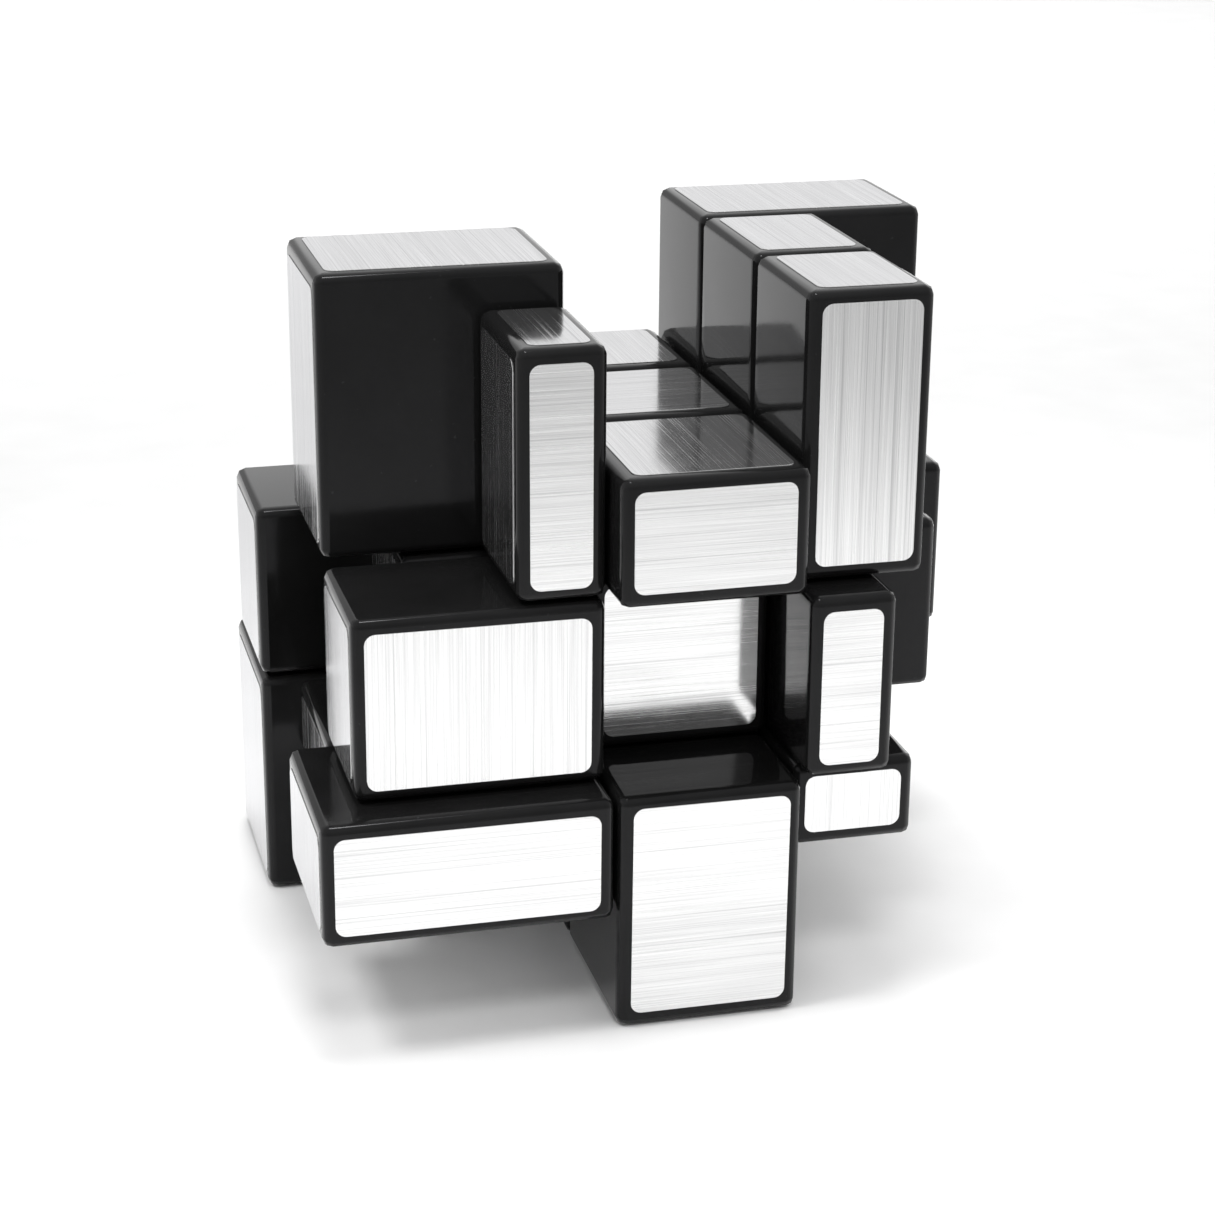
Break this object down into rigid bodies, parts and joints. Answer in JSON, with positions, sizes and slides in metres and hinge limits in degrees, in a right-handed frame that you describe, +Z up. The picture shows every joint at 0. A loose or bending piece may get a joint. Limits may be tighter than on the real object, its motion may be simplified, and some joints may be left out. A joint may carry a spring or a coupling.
{
  "type": "twisty puzzle cube",
  "caption": "Scrambled twisty puzzle cube with layers of different thickness, turning about a core on three axes, standing on its lowest blocks.",
  "frame": {"origin": "centre of the bounding box, on the plane the cube stands on", "axes": "+Z up, -Y towards the front face shown in the picture, +X to the right of it; the core's centre is at (0, -4, 34.5) mm"},
  "size_m": [0.077, 0.069, 0.073],
  "materials": {
    "black_plastic": "polished black moulded plastic",
    "core_plastic": "plain moulded plastic",
    "steel": "zinc-plated steel",
    "silver_foil": "brushed silver foil labels, one on each outer face"
  },
  "bodies": {
    "core": {"core": "core_plastic", "screw_up": "steel", "washer_up": "steel", "spring_up": "steel", "screw_down": "steel", "washer_down": "steel", "spring_down": "steel", "screw_left": "steel", "washer_left": "steel", "spring_left": "steel", "screw_right": "steel", "washer_right": "steel", "spring_right": "steel", "screw_front": "steel", "washer_front": "steel", "spring_front": "steel", "screw_back": "steel", "washer_back": "steel", "spring_back": "steel"},
    "centre_up": {"centre_up_body": "black_plastic", "centre_up_cap": "black_plastic"},
    "centre_down": {"centre_down_body": "black_plastic", "centre_down_cap": "black_plastic"},
    "centre_left": {"centre_left_body": "black_plastic", "centre_left_cap": "black_plastic"},
    "centre_right": {"centre_right_body": "black_plastic", "centre_right_cap": "black_plastic"},
    "centre_front": {"centre_front_body": "black_plastic", "centre_front_cap": "black_plastic"},
    "centre_back": {"centre_back_body": "black_plastic", "centre_back_cap": "black_plastic"},
    "edge_up_left": {"edge_up_left": "black_plastic"},
    "edge_up_right": {"edge_up_right": "black_plastic"},
    "edge_up_front": {"edge_up_front": "black_plastic"},
    "edge_up_back": {"edge_up_back": "black_plastic"},
    "edge_front_left": {"edge_front_left": "black_plastic"},
    "edge_front_right": {"edge_front_right": "black_plastic"},
    "edge_back_left": {"edge_back_left": "black_plastic"},
    "edge_back_right": {"edge_back_right": "black_plastic"},
    "edge_down_left": {"edge_down_left": "black_plastic"},
    "edge_down_right": {"edge_down_right": "black_plastic"},
    "edge_down_front": {"edge_down_front": "black_plastic"},
    "edge_down_back": {"edge_down_back": "black_plastic"},
    "corner_up_front_left": {"corner_up_front_left_shell": "black_plastic", "corner_up_front_left_foot": "black_plastic"},
    "corner_up_front_right": {"corner_up_front_right_shell": "black_plastic", "corner_up_front_right_foot": "black_plastic"},
    "corner_up_back_left": {"corner_up_back_left_shell": "black_plastic", "corner_up_back_left_foot": "black_plastic"},
    "corner_up_back_right": {"corner_up_back_right_shell": "black_plastic", "corner_up_back_right_foot": "black_plastic"},
    "corner_down_front_left": {"corner_down_front_left_shell": "black_plastic", "corner_down_front_left_foot": "black_plastic"},
    "corner_down_front_right": {"corner_down_front_right_shell": "black_plastic", "corner_down_front_right_foot": "black_plastic"},
    "corner_down_back_left": {"corner_down_back_left_shell": "black_plastic", "corner_down_back_left_foot": "black_plastic"},
    "corner_down_back_right": {"corner_down_back_right_shell": "black_plastic", "corner_down_back_right_foot": "black_plastic"}
  },
  "joints": [
    {"name": "turn_up", "type": "hinge", "parent": "core", "child": "centre_up", "pos_m": [0, -0.004, 0.0345], "axis": [0, 0, 1], "continuous": true},
    {"name": "turn_down", "type": "hinge", "parent": "core", "child": "centre_down", "pos_m": [0, -0.004, 0.0345], "axis": [0, 0, 1], "continuous": true},
    {"name": "turn_left", "type": "hinge", "parent": "core", "child": "centre_left", "pos_m": [0, -0.004, 0.0345], "axis": [1, 0, 0], "range_deg": [-180, 180]},
    {"name": "turn_right", "type": "hinge", "parent": "core", "child": "centre_right", "pos_m": [0, -0.004, 0.0345], "axis": [1, 0, 0], "range_deg": [-180, 180]},
    {"name": "turn_front", "type": "hinge", "parent": "core", "child": "centre_front", "pos_m": [0, -0.004, 0.0345], "axis": [0, 1, 0], "range_deg": [-180, 180]},
    {"name": "turn_back", "type": "hinge", "parent": "core", "child": "centre_back", "pos_m": [0, -0.004, 0.0345], "axis": [0, 1, 0], "range_deg": [-180, 180]},
    {"name": "edge_up_left_turns_with_left", "type": "hinge", "parent": "centre_up", "child": "edge_up_left", "pos_m": [0, -0.004, 0.0345], "axis": [1, 0, 0], "range_deg": [-180, 180]},
    {"name": "edge_up_right_turns_with_right", "type": "hinge", "parent": "centre_up", "child": "edge_up_right", "pos_m": [0, -0.004, 0.0345], "axis": [1, 0, 0], "range_deg": [-180, 180]},
    {"name": "edge_up_front_turns_with_front", "type": "hinge", "parent": "centre_up", "child": "edge_up_front", "pos_m": [0, -0.004, 0.0345], "axis": [0, 1, 0], "range_deg": [-180, 180]},
    {"name": "edge_up_back_turns_with_back", "type": "hinge", "parent": "centre_up", "child": "edge_up_back", "pos_m": [0, -0.004, 0.0345], "axis": [0, 1, 0], "range_deg": [-180, 180]},
    {"name": "edge_front_left_turns_with_left", "type": "hinge", "parent": "centre_front", "child": "edge_front_left", "pos_m": [0, -0.004, 0.0345], "axis": [1, 0, 0], "range_deg": [-180, 180]},
    {"name": "edge_front_right_turns_with_right", "type": "hinge", "parent": "centre_front", "child": "edge_front_right", "pos_m": [0, -0.004, 0.0345], "axis": [1, 0, 0], "range_deg": [-180, 180]},
    {"name": "edge_back_left_turns_with_left", "type": "hinge", "parent": "centre_back", "child": "edge_back_left", "pos_m": [0, -0.004, 0.0345], "axis": [1, 0, 0], "range_deg": [-180, 180]},
    {"name": "edge_back_right_turns_with_right", "type": "hinge", "parent": "centre_back", "child": "edge_back_right", "pos_m": [0, -0.004, 0.0345], "axis": [1, 0, 0], "range_deg": [-180, 180]},
    {"name": "edge_down_left_turns_with_left", "type": "hinge", "parent": "centre_down", "child": "edge_down_left", "pos_m": [0, -0.004, 0.0345], "axis": [1, 0, 0], "range_deg": [-180, 180]},
    {"name": "edge_down_right_turns_with_right", "type": "hinge", "parent": "centre_down", "child": "edge_down_right", "pos_m": [0, -0.004, 0.0345], "axis": [1, 0, 0], "range_deg": [-180, 180]},
    {"name": "edge_down_front_turns_with_front", "type": "hinge", "parent": "centre_down", "child": "edge_down_front", "pos_m": [0, -0.004, 0.0345], "axis": [0, 1, 0], "range_deg": [-180, 180]},
    {"name": "edge_down_back_turns_with_back", "type": "hinge", "parent": "centre_down", "child": "edge_down_back", "pos_m": [0, -0.004, 0.0345], "axis": [0, 1, 0], "range_deg": [-180, 180]},
    {"name": "corner_up_front_left_turns_with_left", "type": "hinge", "parent": "edge_up_front", "child": "corner_up_front_left", "pos_m": [0, -0.004, 0.0345], "axis": [1, 0, 0], "range_deg": [-180, 180]},
    {"name": "corner_up_front_right_turns_with_right", "type": "hinge", "parent": "edge_up_front", "child": "corner_up_front_right", "pos_m": [0, -0.004, 0.0345], "axis": [1, 0, 0], "range_deg": [-180, 180]},
    {"name": "corner_up_back_left_turns_with_left", "type": "hinge", "parent": "edge_up_back", "child": "corner_up_back_left", "pos_m": [0, -0.004, 0.0345], "axis": [1, 0, 0], "range_deg": [-180, 180]},
    {"name": "corner_up_back_right_turns_with_right", "type": "hinge", "parent": "edge_up_back", "child": "corner_up_back_right", "pos_m": [0, -0.004, 0.0345], "axis": [1, 0, 0], "range_deg": [-180, 180]},
    {"name": "corner_down_front_left_turns_with_left", "type": "hinge", "parent": "edge_down_front", "child": "corner_down_front_left", "pos_m": [0, -0.004, 0.0345], "axis": [1, 0, 0], "range_deg": [-180, 180]},
    {"name": "corner_down_front_right_turns_with_right", "type": "hinge", "parent": "edge_down_front", "child": "corner_down_front_right", "pos_m": [0, -0.004, 0.0345], "axis": [1, 0, 0], "range_deg": [-180, 180]},
    {"name": "corner_down_back_left_turns_with_left", "type": "hinge", "parent": "edge_down_back", "child": "corner_down_back_left", "pos_m": [0, -0.004, 0.0345], "axis": [1, 0, 0], "range_deg": [-180, 180]},
    {"name": "corner_down_back_right_turns_with_right", "type": "hinge", "parent": "edge_down_back", "child": "corner_down_back_right", "pos_m": [0, -0.004, 0.0345], "axis": [1, 0, 0], "range_deg": [-180, 180]}
  ],
  "couplings": [
    {"joint": "edge_up_left_turns_with_left", "follows": "turn_left", "ratio": 1},
    {"joint": "edge_up_right_turns_with_right", "follows": "turn_right", "ratio": 1},
    {"joint": "edge_up_front_turns_with_front", "follows": "turn_front", "ratio": 1},
    {"joint": "edge_up_back_turns_with_back", "follows": "turn_back", "ratio": 1},
    {"joint": "edge_front_left_turns_with_left", "follows": "turn_left", "ratio": 1},
    {"joint": "edge_front_right_turns_with_right", "follows": "turn_right", "ratio": 1},
    {"joint": "edge_back_left_turns_with_left", "follows": "turn_left", "ratio": 1},
    {"joint": "edge_back_right_turns_with_right", "follows": "turn_right", "ratio": 1},
    {"joint": "edge_down_left_turns_with_left", "follows": "turn_left", "ratio": 1},
    {"joint": "edge_down_right_turns_with_right", "follows": "turn_right", "ratio": 1},
    {"joint": "edge_down_front_turns_with_front", "follows": "turn_front", "ratio": 1},
    {"joint": "edge_down_back_turns_with_back", "follows": "turn_back", "ratio": 1},
    {"joint": "corner_up_front_left_turns_with_left", "follows": "turn_left", "ratio": 1},
    {"joint": "corner_up_front_right_turns_with_right", "follows": "turn_right", "ratio": 1},
    {"joint": "corner_up_back_left_turns_with_left", "follows": "turn_left", "ratio": 1},
    {"joint": "corner_up_back_right_turns_with_right", "follows": "turn_right", "ratio": 1},
    {"joint": "corner_down_front_left_turns_with_left", "follows": "turn_left", "ratio": 1},
    {"joint": "corner_down_front_right_turns_with_right", "follows": "turn_right", "ratio": 1},
    {"joint": "corner_down_back_left_turns_with_left", "follows": "turn_left", "ratio": 1},
    {"joint": "corner_down_back_right_turns_with_right", "follows": "turn_right", "ratio": 1}
  ]
}
